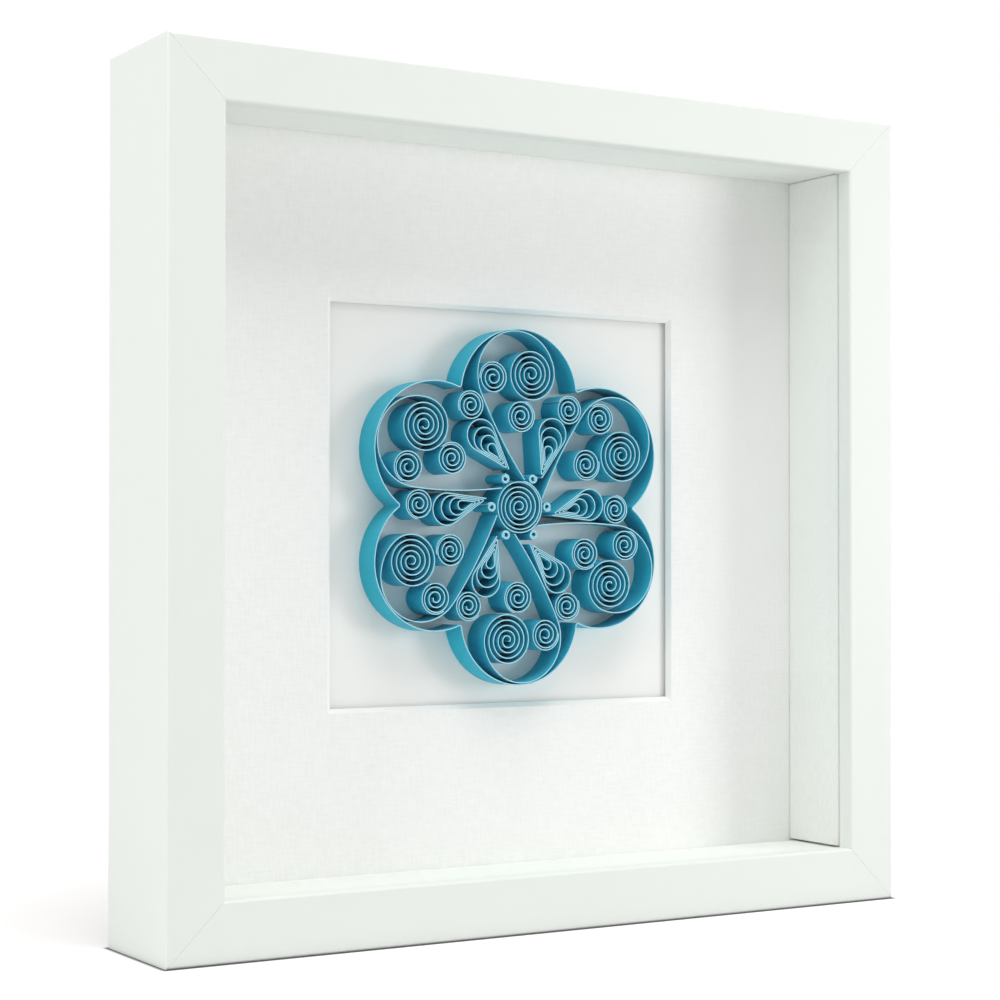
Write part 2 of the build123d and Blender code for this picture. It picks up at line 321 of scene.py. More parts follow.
@dataclass(frozen=True)
class Finish:
    """What every finish has, and how its material is made on first use.

    Attributes:
        name: Name of the material.
        colour: Its colour in the middle of its range.
        roughness: How matt it is, in the middle of its range.
    """

    name: str
    colour: Colour
    roughness: float

    @cache
    def material(self) -> bpy.types.Material:
        """Material of this finish, made on first use.

        Returns:
            The material.
        """
        made = bpy.data.materials.new(self.name)
        made.use_nodes = True
        made.node_tree.nodes.clear()
        self.wire(Wiring(made.node_tree))
        return made

    def wire(self, wiring: Wiring) -> None:
        """Build the nodes; each finish does it in its own way.

        Args:
            wiring: Tree of the material.
        """
        raise NotImplementedError

    def tone(self, wiring: Wiring, vector: bpy.types.NodeSocket, scale: float, amount: float,
             swing: float) -> bpy.types.Node:
        """Clouded colour and roughness of this finish.

        Args:
            wiring: Tree of the material.
            vector: Coordinates.
            scale: Clouds to a metre.
            amount: Share by which the colour swings each way.
            swing: How far the roughness swings each way.

        Returns:
            The placed group.
        """
        return wiring.place(EFFECTS.mottle, Vector=vector, Colour=self.colour, Scale=scale, Amount=amount,
                            Roughness=self.roughness, Rough_Swing=swing)


@dataclass(frozen=True)
class FoilFinish(Finish):
    """White foil with a fine grain that runs along each rail.

    Attributes:
        grain_length: Length of a streak, in millimetres.
        grain_width: Width of a streak, in millimetres.
        grain_depth: Depth of the grain, in millimetres.
        stain: Share by which the grain swings the colour each way.
        specular: Strength of the foil's shine.
    """

    grain_length: float = 7.0
    grain_width: float = 0.45
    grain_depth: float = 0.018
    stain: float = 0.01
    specular: float = 0.35

    def wire(self, wiring: Wiring) -> None:
        """Build the nodes on the rail's own grain coordinates.

        Args:
            wiring: Tree of the material.
        """
        along = wiring.add("ShaderNodeUVMap", {"uv_map": "grain"}).outputs["UV"]
        streaks = (1 / (self.grain_length * MM), 1 / (self.grain_width * MM), 0.0)
        grain = wiring.place(EFFECTS.fibres, Vector=along, Streaks=streaks, Sharpness=0.62).outputs["Height"]
        tone = self.tone(wiring, along, scale=38.0, amount=0.012, swing=0.05)
        colour = wiring.vector("SCALE", tone.outputs["Colour"], wiring.swing(grain, 1.0, self.stain))
        wiring.surface(wiring.add(
            "ShaderNodeBsdfPrincipled", Base_Color=colour, Roughness=tone.outputs["Roughness"],
            Specular_IOR_Level=self.specular, Normal=wiring.bump(grain, self.grain_depth),
        ).outputs["BSDF"])


@dataclass(frozen=True)
class BoardFinish(Finish):
    """Raw pressed board: matted fibres in two tones.

    Attributes:
        dark: Colour of the darker fibres.
        fibre: Width of a fibre, in millimetres.
        upright: How close the fibres lie upwards, as a share of how close they lie across.
        depth: Depth of the surface's relief, in millimetres.
    """

    dark: Colour
    fibre: float
    upright: float = 0.4
    depth: float = 0.06

    def wire(self, wiring: Wiring) -> None:
        """Build the nodes on the piece's own coordinates.

        Args:
            wiring: Tree of the material.
        """
        where = wiring.add("ShaderNodeTexCoord").outputs["Object"]
        count = 1 / (self.fibre * MM)
        flecks = wiring.place(EFFECTS.fibres, Vector=where, Streaks=(count, count, count * self.upright),
                              Sharpness=0.72).outputs["Height"]
        tone = self.tone(wiring, where, scale=24.0, amount=0.10, swing=0.06)
        spread = wiring.add("ShaderNodeMapRange", Value=flecks, From_Min=0.36, From_Max=0.62)
        mixed = wiring.add("ShaderNodeMix", {"data_type": "RGBA"})
        wiring.feed(mixed.inputs[0], spread.outputs[0])
        wiring.feed(mixed.inputs[6], self.dark)
        wiring.feed(mixed.inputs[7], tone.outputs["Colour"])
        wiring.surface(wiring.add(
            "ShaderNodeBsdfPrincipled", Base_Color=mixed.outputs[2], Roughness=tone.outputs["Roughness"],
            Specular_IOR_Level=0.25, Normal=wiring.bump(flecks, self.depth),
        ).outputs["BSDF"])


@dataclass(frozen=True)
class LinenFinish(Finish):
    """Mat board faced with paper that is pressed with a linen pattern.

    Attributes:
        thread: Width of a thread, in millimetres.
        slub: Length over which a thread stays even, in millimetres.
        depth: Depth of the pattern, in millimetres.
        stain: Share by which the pattern swings the colour each way.
    """

    thread: float = 0.7
    slub: float = 5.0
    depth: float = 0.22
    stain: float = 0.08

    def wire(self, wiring: Wiring) -> None:
        """Build the nodes on the piece's own coordinates.

        Args:
            wiring: Tree of the material.
        """
        where = wiring.add("ShaderNodeTexCoord").outputs["Object"]
        along, across = 1 / (self.slub * MM), 1 / (self.thread * MM)
        ways = ((across, 0.0, along), (along, 0.0, across))
        warp, weft = [
            wiring.place(EFFECTS.fibres, Vector=where, Streaks=streaks, Sharpness=0.5).outputs["Height"]
            for streaks in ways
        ]
        threads = wiring.math("MULTIPLY", wiring.math("ADD", warp, weft), 0.5)
        tone = self.tone(wiring, where, scale=55.0, amount=0.010, swing=0.04)
        colour = wiring.vector("SCALE", tone.outputs["Colour"], wiring.swing(threads, 1.0, self.stain))
        wiring.surface(wiring.add(
            "ShaderNodeBsdfPrincipled", Base_Color=colour, Roughness=tone.outputs["Roughness"],
            Specular_IOR_Level=0.15, Normal=wiring.bump(threads, self.depth),
        ).outputs["BSDF"])


@dataclass(frozen=True)
class PaperFinish(Finish):
    """Plain paper: a soft cloudiness and fine fibres.

    Attributes:
        cloud: Share by which the colour swings each way.
        fibre: Width of a fibre, in millimetres.
        inward: How close the fibres lie front to back, as a share of how close they lie across.
        depth: Depth of the fibres, in millimetres.
        specular: Strength of the paper's faint shine.
        bloom: Strength of the pale bloom where it is seen aslant.
    """

    cloud: float = 0.02
    fibre: float = 0.6
    inward: float = 0.35
    depth: float = 0.012
    specular: float = 0.12
    bloom: float = 0.0

    def wire(self, wiring: Wiring) -> None:
        """Build the nodes on the piece's own coordinates.

        Args:
            wiring: Tree of the material.
        """
        where = wiring.add("ShaderNodeTexCoord").outputs["Object"]
        count = 1 / (self.fibre * MM)
        fibres = wiring.place(EFFECTS.fibres, Vector=where, Streaks=(count, count * self.inward, count),
                              Sharpness=0.6).outputs["Height"]
        tone = self.tone(wiring, where, scale=140.0, amount=self.cloud, swing=0.05)
        wiring.surface(wiring.add(
            "ShaderNodeBsdfPrincipled", Base_Color=tone.outputs["Colour"],
            Roughness=tone.outputs["Roughness"], Specular_IOR_Level=self.specular,
            Sheen_Weight=self.bloom, Normal=wiring.bump(fibres, self.depth),
        ).outputs["BSDF"])


@dataclass(frozen=True)
class SteelFinish(Finish):
    """Zinc-plated steel with fine rolling marks.

    Attributes:
        mark: Length of a rolling mark, in millimetres.
        fineness: How many times as long as it is wide a mark is.
        depth: Depth of the marks, in millimetres.
    """

    mark: float = 5.0
    fineness: float = 30.0
    depth: float = 0.01

    def wire(self, wiring: Wiring) -> None:
        """Build the nodes on the piece's own coordinates.

        Args:
            wiring: Tree of the material.
        """
        where = wiring.add("ShaderNodeTexCoord").outputs["Object"]
        along = 1 / (self.mark * MM)
        across = along * self.fineness
        marks = wiring.place(EFFECTS.fibres, Vector=where, Streaks=(along, across, across),
                             Sharpness=0.55).outputs["Height"]
        tone = self.tone(wiring, where, scale=420.0, amount=0.08, swing=0.10)
        wiring.surface(wiring.add(
            "ShaderNodeBsdfPrincipled", Base_Color=tone.outputs["Colour"],
            Roughness=tone.outputs["Roughness"], Metallic=1.0, Normal=wiring.bump(marks, self.depth),
        ).outputs["BSDF"])


@dataclass(frozen=True)
class PaneFinish(Finish):
    """Clear acrylic with a coat that takes most of the reflection away.

    Attributes:
        refraction: How strongly the coated surface bends and throws back light.
    """

    refraction: float = 1.06

    def wire(self, wiring: Wiring) -> None:
        """Build the nodes on the piece's own coordinates.

        Args:
            wiring: Tree of the material.
        """
        where = wiring.add("ShaderNodeTexCoord").outputs["Object"]
        tone = self.tone(wiring, where, scale=30.0, amount=0.0, swing=0.01)
        wiring.surface(wiring.add(
            "ShaderNodeBsdfPrincipled", Base_Color=self.colour, Roughness=tone.outputs["Roughness"],
            Transmission_Weight=1.0, IOR=self.refraction,
        ).outputs["BSDF"])


FRAME_FOIL = FoilFinish("white foil", shade(234, 238, 233), 0.46)
SPACER_FOIL = FoilFinish("matt white foil", shade(241, 244, 239), 0.62, grain_length=4.0, grain_width=0.6,
                         grain_depth=0.03, stain=0.09, specular=0.08)
RAW_BOARD = BoardFinish("raw fibreboard", shade(196, 168, 132), 0.85, dark=shade(158, 128, 96), fibre=0.9)
HARDBOARD = BoardFinish("pressed hardboard", shade(150, 110, 74), 0.7, dark=shade(112, 78, 50), fibre=2.0)
MAT_FACE = LinenFinish("mat paper", shade(247, 248, 246), 0.9)
MAT_CORE = PaperFinish("mat core", shade(249, 249, 246), 0.95, cloud=0.015)
FOAM = PaperFinish("foam tape", shade(238, 238, 234), 0.95, cloud=0.02, fibre=0.3, depth=0.05)
CARD = PaperFinish("art card", shade(248, 248, 245), 0.85, cloud=0.008, fibre=0.4, depth=0.006)
STEEL = SteelFinish("zinc-plated steel", (0.42, 0.42, 0.41, 1.0), 0.4)
PANE = PaneFinish("clear acrylic", (1.0, 1.0, 1.0, 1.0), 0.02)
STRIP_FACE = PaperFinish("turquoise paper", shade(36, 180, 207), 0.72, cloud=0.05, depth=0.015,
                         bloom=0.15)
# Paler than the faces: partly the paper's paler cut edge, partly a painted highlight where the front edges
# face the lamps.
STRIP_EDGE_AND_HIGHLIGHT = PaperFinish("cut paper edge", shade(176, 226, 240), 0.8, cloud=0.12, fibre=0.25, depth=0.02)


# Meshes

def softened(node: str, width: float, segments: int = 2, least_angle: float = 40.0) -> bmesh.types.BMesh:
    """Copy of a solid with its sharp edges eased.

    Args:
        node: Name of the solid's node.
        width: Width of the eased edges, in millimetres.
        segments: Steps across an eased edge.
        least_angle: Edges that turn by more than this many degrees are eased.

    Returns:
        The eased mesh.
    """
    mesh = bmesh.new()
    mesh.from_mesh(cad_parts[node].data)
    bmesh.ops.remove_doubles(mesh, verts=mesh.verts, dist=WELD * MM)
    bmesh.ops.dissolve_limit(mesh, angle_limit=radians(FLAT_TURN), verts=mesh.verts, edges=mesh.edges)
    sharp = [edge for edge in mesh.edges
             if len(edge.link_faces) == 2 and edge.calc_face_angle() > radians(least_angle)]
    bmesh.ops.bevel(mesh, geom=sharp, offset=width * MM, offset_type="OFFSET", segments=segments,
                    profile=0.5, affect="EDGES", clamp_overlap=True, material=-1)
    return mesh


def piece(name: str, mesh: bmesh.types.BMesh, slot: Slot, finishes: list[Finish],
          *nodes: str) -> bpy.types.Object:
    """Make an object of a finished mesh, in the place of its solids.

    Args:
        name: The piece's name.
        mesh: Its mesh, which is used up.
        slot: Material slot of the record meant for it; not used.
        finishes: Its finishes, in the order of the mesh's material numbers.
        *nodes: Nodes that it stands for.

    Returns:
        The object.
    """
    data = bpy.data.meshes.new(name)
    for face in mesh.faces:
        face.smooth = True
    mesh.to_mesh(data)
    mesh.free()
    for finish in finishes:
        data.materials.append(finish.material())
    made = bpy.data.objects.new(name, data)
    bpy.context.scene.collection.objects.link(made)
    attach(made, BODY)
    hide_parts(*nodes)
    LOG.info("%s stands for %s", name, ", ".join(nodes))
    return made


def even_shading(made: bpy.types.Object) -> None:
    """Keep flat faces flat beside eased edges."""
    made.modifiers.new("even shading", "WEIGHTED_NORMAL").weight = 100


def dress_solid(node: str, finish: Finish) -> None:
    """Give a solid that shows as it is its finish.

    Args:
        node: Name of the solid's node.
        finish: Finish of its surface.
    """
    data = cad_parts[node].data
    data.materials.clear()
    data.materials.append(finish.material())
    LOG.info("%s shows as it is", node)


# Frame and what it holds

@dataclass
class BoxFrame:
    """Four mitred rails and the strips that line them.

    Attributes:
        rail_ease: Width of the eased edges at the mitres and slots, in millimetres.
        spacer_ease: Width of the spacers' eased edges, in millimetres.
    """

    rail_ease: float = 0.12
    spacer_ease: float = 0.7

    @staticmethod
    def lay_grain(mesh: bmesh.types.BMesh, axis: int) -> None:
        """Lay grain coordinates along a strip, in metres.

        Args:
            mesh: Mesh of the strip.
            axis: Axis that the strip runs along.
        """
        layer = mesh.loops.layers.uv.new("grain")
        other = 2 - axis
        for face in mesh.faces:
            across = other if abs(face.normal.y) > FACING else 1
            for loop in face.loops:
                loop[layer].uv = (loop.vert.co[axis], loop.vert.co[across])

    @staticmethod
    def bare_back(mesh: bmesh.types.BMesh) -> None:
        """Give a rail's back, and its rebate behind the back board, the second finish.

        Args:
            mesh: Mesh of the rail.
        """
        board_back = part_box("back_board")[1].y
        everything = [*mesh.verts, *mesh.edges, *mesh.faces]
        bmesh.ops.bisect_plane(mesh, geom=everything, plane_co=(0.0, board_back, 0.0),
                               plane_no=(0.0, 1.0, 0.0))
        middle = (CAD_BOX[0] + CAD_BOX[1]) / 2
        for face in mesh.faces:
            centre = face.calc_center_median()
            inward = Vector((middle.x - centre.x, 0.0, middle.z - centre.z)).normalized()
            inside = face.normal.dot(inward) > FACING and centre.y > board_back
            if inside or face.normal.y > FACING:
                face.material_index = 1

    def build(self) -> None:
        """Make the rails and the spacers."""
        for side in Side:
            name, axis = side.value
            rail = softened(f"{name}_rail", self.rail_ease)
            self.lay_grain(rail, axis)
            self.bare_back(rail)
            even_shading(piece(f"{name}_rail_foil", rail, Slot.FRAME, [FRAME_FOIL, RAW_BOARD],
                               f"{name}_rail"))
            spacer = softened(f"{name}_spacer", self.spacer_ease)
            self.lay_grain(spacer, axis)
            even_shading(piece(f"{name}_spacer_foil", spacer, Slot.SPACER, [SPACER_FOIL],
                               f"{name}_spacer"))


@dataclass
class Sheets:
    """Pane, window mat, the tape behind it and the card.

    Attributes:
        mat_ease: Width of the mat's eased edges, in millimetres.
        flat: How far a face's normal goes front to back, at least, where the mat is flat.
    """

    mat_ease: float = 0.1
    flat: float = 0.95

    def build(self) -> None:
        """Make the mat and dress the flat sheets; lamps and bounced light pass the clear pane."""
        mat = softened("window_mat", self.mat_ease)
        for face in mat.faces:
            if abs(face.normal.y) < self.flat:
                face.material_index = 1
        even_shading(piece("window_mat_paper", mat, Slot.MAT, [MAT_FACE, MAT_CORE], "window_mat"))
        dress_solid("front_pane", PANE)
        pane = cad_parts["front_pane"]
        pane.visible_shadow = pane.visible_diffuse = False
        dress_solid("foam_tape", FOAM)
        dress_solid("art_card", CARD)


@dataclass
class Back:
    """Back board, its fixings and the hanger.

    Attributes:
        plate_ease: Width of the eased edges of thin steel, in millimetres.
        head_ease: Width of the rivet heads' rounded rims, in millimetres.
    """

    plate_ease: float = 0.1
    head_ease: float = 0.55

    def build(self) -> None:
        """Make the steel pieces and dress the board and the nails."""
        points = softened("steel_points", self.plate_ease)
        even_shading(piece("steel_points_plate", points, Slot.STEEL, [STEEL], "steel_points"))
        hanger = softened("sawtooth_hanger", self.plate_ease)
        even_shading(piece("sawtooth_hanger_plate", hanger, Slot.STEEL, [STEEL], "sawtooth_hanger"))
        rivets = softened("hanger_rivets", self.head_ease, segments=4)
        even_shading(piece("hanger_rivets_turned", rivets, Slot.STEEL, [STEEL], "hanger_rivets"))
        dress_solid("corner_nails", STEEL)
        dress_solid("back_board", HARDBOARD)


# Paths of the quilled strips, in millimetres, in a plane with +X along the arm

def polar(radius: float, bearing: float, centre: Point = (0.0, 0.0)) -> Point:
    """Point at a distance and bearing, in degrees, from a centre."""
    return (centre[0] + radius * cos(radians(bearing)), centre[1] + radius * sin(radians(bearing)))


def arc(centre: Point, radius: float, start: float, stop: float) -> Path:
    """Fine points along an arc.

    Args:
        centre: Middle of the arc.
        radius: Its radius.
        start: First bearing, in degrees.
        stop: Last bearing, in degrees.

    Returns:
        The points, ends included.
    """
    step = min(ARC_TURN, degrees(ARC_STEP / radius))
    count = ceil(abs(stop - start) / step)
    return [polar(radius, start + (stop - start) * i / count, centre) for i in range(count + 1)]


def rounded(before: Point, corner: Point, after: Point, radius: float) -> Path:
    """Points round a sharp fold of a strip.

    Args:
        before: A point on the flank that runs in.
        corner: Where the two flanks would meet.
        after: A point on the flank that runs out.
        radius: Radius of the fold.

    Returns:
        Points from one flank to the other.
    """
    middle = Vector(corner)
    flank_in = (Vector(before) - middle).normalized()
    flank_out = (Vector(after) - middle).normalized()
    half = flank_in.angle(flank_out) / 2
    heart = middle + (flank_in + flank_out).normalized() * (radius / sin(half))
    first = middle + flank_in * (radius / tan(half)) - heart
    last = middle + flank_out * (radius / tan(half)) - heart
    start = degrees(atan2(first.y, first.x))
    sweep = (degrees(atan2(last.y, last.x)) - start + 180.0) % 360.0 - 180.0
    steps = 8
    return [polar(radius, start + sweep * i / steps, tuple(heart)) for i in range(steps + 1)]


@dataclass
class Rosette:
    """Quilled paper rosette: a folded outline, and six like arms round a centre coil.

    Lengths are in millimetres and bearings in degrees. They are those of the solids.

    Attributes:
        strip_t: Thickness of the paper.
        glue_gap: Gap between two strips that are glued side to side.
        height_play: How far a strip's front edge may lie below its full height.
        ripple: Length over which a front edge rises and falls.
        sway: How far the loose turns of a coil stray from an even spiral.
        settle: Winding over which a coil's turns come loose.
        waver: Winding over which a loose turn strays one way.
        edge_ease: Width of the eased cut edges.
        edge_angle: Edges that turn by more than this are eased.
        arms: Number of arms.
        first_arm: Bearing of the first arm.
        first_seed: Number that the first arm's unevenness comes from.
        reach: Distance from the middle to the outermost point of a scallop.
        fold_r: Radius of the folds between the scallops.
        fold_depth: How far a fold lies in from the reach.
        hub_r: Radius of the centre coil.
        hub_turns: Turns of the centre coil.
        loop_r: Radius of a scroll's wide loop.
        loop_bearing: Bearing of the loop's middle from the scallop's.
        scroll_r: Radius of a scroll's coil.
        scroll_bearing: Bearing at which the loop runs into the coil.
        scroll_turns: Turns of a scroll's coil.
        tail_bearing: Bearing at which the tail runs into the loop.
        hub_bearing: Bearing at which the tail leaves the centre coil.
        small_r: Radius of a small coil.
        small_bearing: Bearing of a small coil from the scroll's coil.
        small_turns: Turns of a small coil.
        fill_turns: Turns of a fill coil.
        flat_sag: Room that the solids leave beside a loop for its flats.
        notch_r: Radius of a notch coil.
        notch_back: How far down the tail a notch coil lies.
        notch_turns: Turns of a notch coil.
        core_r: Radius of a coil's eye.
        drop_r: Radius of a drop's round end.
        drop_reach: Distance from a drop's tip to the middle of its round end.
        drop_loops: Number of loops in a drop.
        drop_gap: Gap between the flanks of two loops.
        drop_core: By how much the innermost loop is larger than one step of size, in steps.
        drop_fold_r: Radius of the folds at a drop's tip.
        peg_r: Radius of a peg.
        peg_eye: Radius of a peg's pin hole.
        peg_pitch: Distance between a peg's turns, in thicknesses of the paper.
        peg_bearing: Bearing of a peg from the middle.
        middle: Height of the rosette's middle.
        foot: Depth of the strips' feet, on the card.
        top: Depth of the strips' front edges.
        fit: Distance between the middles of two strips that are glued.
        arm_turn: Angle between two arms.
        fold_reach: Distance of a fold from the middle.
        lobe_r: Radius of a scallop.
        lobe: Middle of a scallop.
        loop: Middle of a wide loop.
        scroll: Middle of a scroll's coil.
        tail_top: Where the tail runs into the loop.
        tail_foot: Where the tail leaves the centre coil.
        down_tail: Bearing down the tail.
    """

    strip_t: float = 0.35
    glue_gap: float = 0.08
    height_play: float = 0.22
    ripple: float = 9.0
    sway: float = 0.16
    settle: float = 240.0
    waver: float = 150.0
    edge_ease: float = 0.05
    edge_angle: float = 50.0
    arms: int = 6
    first_arm: float = 90.0
    first_seed: float = 1.37
    reach: float = 54.0
    fold_r: float = 0.7
    fold_depth: float = 12.0
    hub_r: float = 8.0
    hub_turns: float = 5.5
    loop_r: float = 13.6
    loop_bearing: float = 10.0
    scroll_r: float = 8.2
    scroll_bearing: float = -84.0
    scroll_turns: float = 4.6
    tail_bearing: float = 114.0
    hub_bearing: float = -12.0
    small_r: float = 4.8
    small_bearing: float = 164.0
    small_turns: float = 3.6
    fill_turns: float = 3.4
    flat_sag: float = 0.23
    notch_r: float = 4.4
    notch_back: float = 2.2
    notch_turns: float = 3.4
    core_r: float = 0.8
    drop_r: float = 4.8
    drop_reach: float = 14.0
    drop_loops: int = 4
    drop_gap: float = 0.15
    drop_core: float = 0.3
    drop_fold_r: float = 0.2
    peg_r: float = 1.6
    peg_eye: float = 0.45
    peg_pitch: float = 1.04
    peg_bearing: float = 31.0
    middle: float = field(init=False)
    foot: float = field(init=False)
    top: float = field(init=False)
    fit: float = field(init=False)
    arm_turn: float = field(init=False)
    fold_reach: float = field(init=False)
    lobe_r: float = field(init=False)
    lobe: Point = field(init=False)
    loop: Point = field(init=False)
    scroll: Point = field(init=False)
    tail_top: Point = field(init=False)
    tail_foot: Point = field(init=False)
    down_tail: float = field(init=False)

    def __post_init__(self) -> None:
        """Take the card's place from the solids and work out the middles that the pieces share."""
        low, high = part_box("outline_strip")
        self.middle = (CAD_BOX[0].z + CAD_BOX[1].z) / 2 / MM
        self.foot = high.y / MM
        self.top = low.y / MM
        self.fit = self.strip_t + self.glue_gap
        self.arm_turn = 360.0 / self.arms
        self.fold_reach = self.reach - self.fold_depth
        along = self.fold_reach * cos(radians(self.arm_turn / 2))
        self.lobe_r = (
            (self.fold_reach ** 2 - 2 * along * self.reach + self.reach ** 2 - self.fold_r ** 2)
            / (2 * (self.reach + self.fold_r - along))
        )
        self.lobe = (self.reach - self.lobe_r, 0.0)
        self.loop = polar(self.lobe_r - self.fit - self.loop_r, self.loop_bearing, self.lobe)
        self.scroll = polar(self.loop_r - self.scroll_r, self.scroll_bearing, self.loop)
        self.tail_top = polar(self.loop_r, self.tail_bearing, self.loop)
        self.tail_foot = polar(self.hub_r + self.fit, self.hub_bearing)
        self.down_tail = self.tail_bearing + 90.0

    def beside_tail(self, radius: float, back: float) -> Point:
        """Middle of a round piece that touches the outer side of the tail, this far down it."""
        touching = polar(radius + self.fit, self.tail_bearing, self.tail_top)
        return polar(back, self.down_tail, touching)

    def coil(self, centre: Point, radius: float, turns: float, start: float, seed: float,
             closed: bool = True) -> Path:
        """Hand-wound coil that winds in clockwise.

        Args:
            centre: Its middle.
            radius: Radius of its outer turn.
            turns: How many turns it has.
            start: Bearing of its outer end.
            seed: Number that its unevenness comes from.
            closed: Whether its first turn is glued to itself.

        Returns:
            The points from its outer end to its eye.
        """
        first_drop = self.fit if closed else (radius - self.core_r) / turns
        inner_r = radius - first_drop
        per_turn = 72
        points = [polar(radius - first_drop * i / per_turn, start - 360.0 * i / per_turn, centre)
                  for i in range(per_turn)]
        count = ceil(per_turn * (turns - 1))
        for i in range(count + 1):
            wound = 360.0 * (turns - 1) * i / count
            reach = inner_r - (inner_r - self.core_r) * i / count
            loose = min(1.0, wound / self.settle)
            stray = self.sway * loose * noise.noise(Vector((seed, wound / self.waver, radius)))
            points.append(polar(reach + stray, start - wound, centre))
        return points

    def tail(self) -> Path:
        """Gentle arc from the centre coil that runs tangent into the loop.

        Returns:
            The points from the centre coil to the loop.
        """
        away = Vector(polar(1.0, self.tail_bearing))
        start, end = Vector(self.tail_foot), Vector(self.tail_top)
        span = end - start
        radius = span.length_squared / (2 * span.dot(away))
        heart = end - away * radius
        first = degrees(atan2(*(start - heart).yx))
        sweep = (degrees(atan2(*(end - heart).yx)) - first + 180.0) % 360.0 - 180.0
        return arc(tuple(heart), abs(radius), first, first + sweep)

    def outline_path(self) -> Path:
        """Scallops, folded in between each two.

        Returns:
            The points round the rosette, back to the first one.
        """
        half = self.arm_turn / 2
        fold = polar(self.fold_reach, half)
        spread = degrees(atan2(fold[1], fold[0] - self.lobe[0]))
        points: Path = []
        for i in range(self.arms):
            turn = i * self.arm_turn
            points += arc(polar(self.lobe[0], turn), self.lobe_r, turn - spread, turn + spread)[:-1]
            inward = turn + spread + 180.0
            notch = polar(self.fold_reach, half + turn)
            points += arc(notch, self.fold_r, inward, inward + 2 * (half - spread))[:-1]
        return points + points[:1]

    def scroll_path(self, seed: float) -> Path:
        """Tail, wide loop and the coil that it winds into.

        Args:
            seed: Number that the coil's unevenness comes from.

        Returns:
            The points from the centre coil to the coil's eye.
        """
        loop = arc(self.loop, self.loop_r, self.tail_bearing, self.scroll_bearing)
        coil = self.coil(self.scroll, self.scroll_r, self.scroll_turns, self.scroll_bearing, seed,
                         closed=False)
        return self.tail() + loop[1:] + coil[1:]

    def small_path(self, seed: float) -> Path:
        """Coil against the inner side of a scroll's coil."""
        centre = polar(self.scroll_r + self.small_r + self.fit, self.small_bearing, self.scroll)
        return self.coil(centre, self.small_r, self.small_turns, self.small_bearing + 180.0, seed)

    def fill_path(self, seed: float) -> Path:
        """Coil that fills the rest of a wide loop, across from its scroll's coil.

        Args:
            seed: Number that its unevenness comes from.

        Returns:
            The points from its outer end to its eye.
        """
        across = self.scroll_bearing + 180.0
        radius = self.loop_r - self.scroll_r - self.fit - self.flat_sag
        return self.coil(polar(self.scroll_r, across, self.loop), radius, self.fill_turns, across, seed)

    def notch_path(self, seed: float) -> Path:
        """Coil on the tail, behind a fold of the outline."""
        centre = self.beside_tail(self.notch_r, self.notch_back)
        return self.coil(centre, self.notch_r, self.notch_turns, self.tail_bearing, seed)

    def drop_path(self) -> Path:
        """Nested loops pinched to a tip, lying between the tail and the notch coil.

        Returns:
            The points from the tip to the fold of the innermost loop.
        """
        apart = self.notch_r + self.drop_r + self.fit
        back = self.notch_back + sqrt(apart ** 2 - (self.drop_r - self.notch_r) ** 2)
        lean = asin(self.drop_r / self.drop_reach)
        axis = self.down_tail + 180.0 + degrees(lean)
        tip = polar(-self.drop_reach, axis, self.beside_tail(self.drop_r, back))
        step = (self.strip_t + self.drop_gap) / sin(lean)
        aside = step / 2 * tan(lean)
        rounds, folds = [], []
        for i in range(self.drop_loops):
            size = 1 - i / (self.drop_loops + self.drop_core)
            round_end = polar(step * i + self.drop_reach * size, axis, tip)
            rounds.append(arc(round_end, self.drop_r * size, axis - 90.0 - degrees(lean),
                              axis + 90.0 + degrees(lean)))
            folds.append(polar(aside, axis + 90.0, polar(step * (i + 0.5), axis, tip)))
        points = [tip]
        for this, fold, following in zip(rounds, folds, rounds[1:]):
            points += this + rounded(this[-1], fold, following[0], self.drop_fold_r)
        return points + rounds[-1] + [folds[-1]]

    def peg_path(self) -> Path:
        """Tight coil with a pin hole, beside the centre coil.

        Returns:
            The points from its outer end to the pin hole.
        """
        centre = polar(self.hub_r + self.peg_r + self.strip_t / 2 + self.glue_gap, self.peg_bearing)
        rim = self.peg_r - self.strip_t / 2
        eye = self.peg_eye + self.strip_t / 2
        turns = (rim - eye) / (self.strip_t * self.peg_pitch)
        per_turn = 60
        count = ceil(per_turn * turns)
        return [polar(rim - (rim - eye) * i / count, -360.0 * turns * i / count, centre)
                for i in range(count + 1)]

    def ribbon(self, path: Path, bearing: float, seed: float) -> bmesh.types.BMesh:
        """Strip standing on the card along a path.

        Args:
            path: Points along the middle of the strip.
            bearing: Bearing of its arm.
            seed: Number that the unevenness of its front edge comes from.

        Returns:
            The strip as a sheet without thickness.
        """
        turn_cos, turn_sin = cos(radians(bearing)), sin(radians(bearing))
        mesh = bmesh.new()
        edge = None
        for i, (x, z) in enumerate(path):
            place = (x * turn_cos - z * turn_sin, x * turn_sin + z * turn_cos + self.middle)
            wave = noise.noise(Vector((place[0] / self.ripple, place[1] / self.ripple, seed)))
            low = self.height_play * (0.5 + 0.5 * wave)
            foot = Vector((place[0], self.foot, place[1])) * MM
            front = Vector((place[0], self.top + low, place[1])) * MM
            if edge is None:
                edge = mesh.edges.new([mesh.verts.new(foot), mesh.verts.new(front)])
                continue
            grown = bmesh.ops.extrude_edge_only(mesh, edges=[edge])["geom"]
            ends = sorted((v for v in grown if isinstance(v, bmesh.types.BMVert)), key=lambda v: -v.co.y)
            ends[0].co, ends[1].co = foot, front
            edge = mesh.edges.get(ends)
        bmesh.ops.remove_doubles(mesh, verts=mesh.verts, dist=WELD * MM)
        bmesh.ops.recalc_face_normals(mesh, faces=mesh.faces)
        return mesh

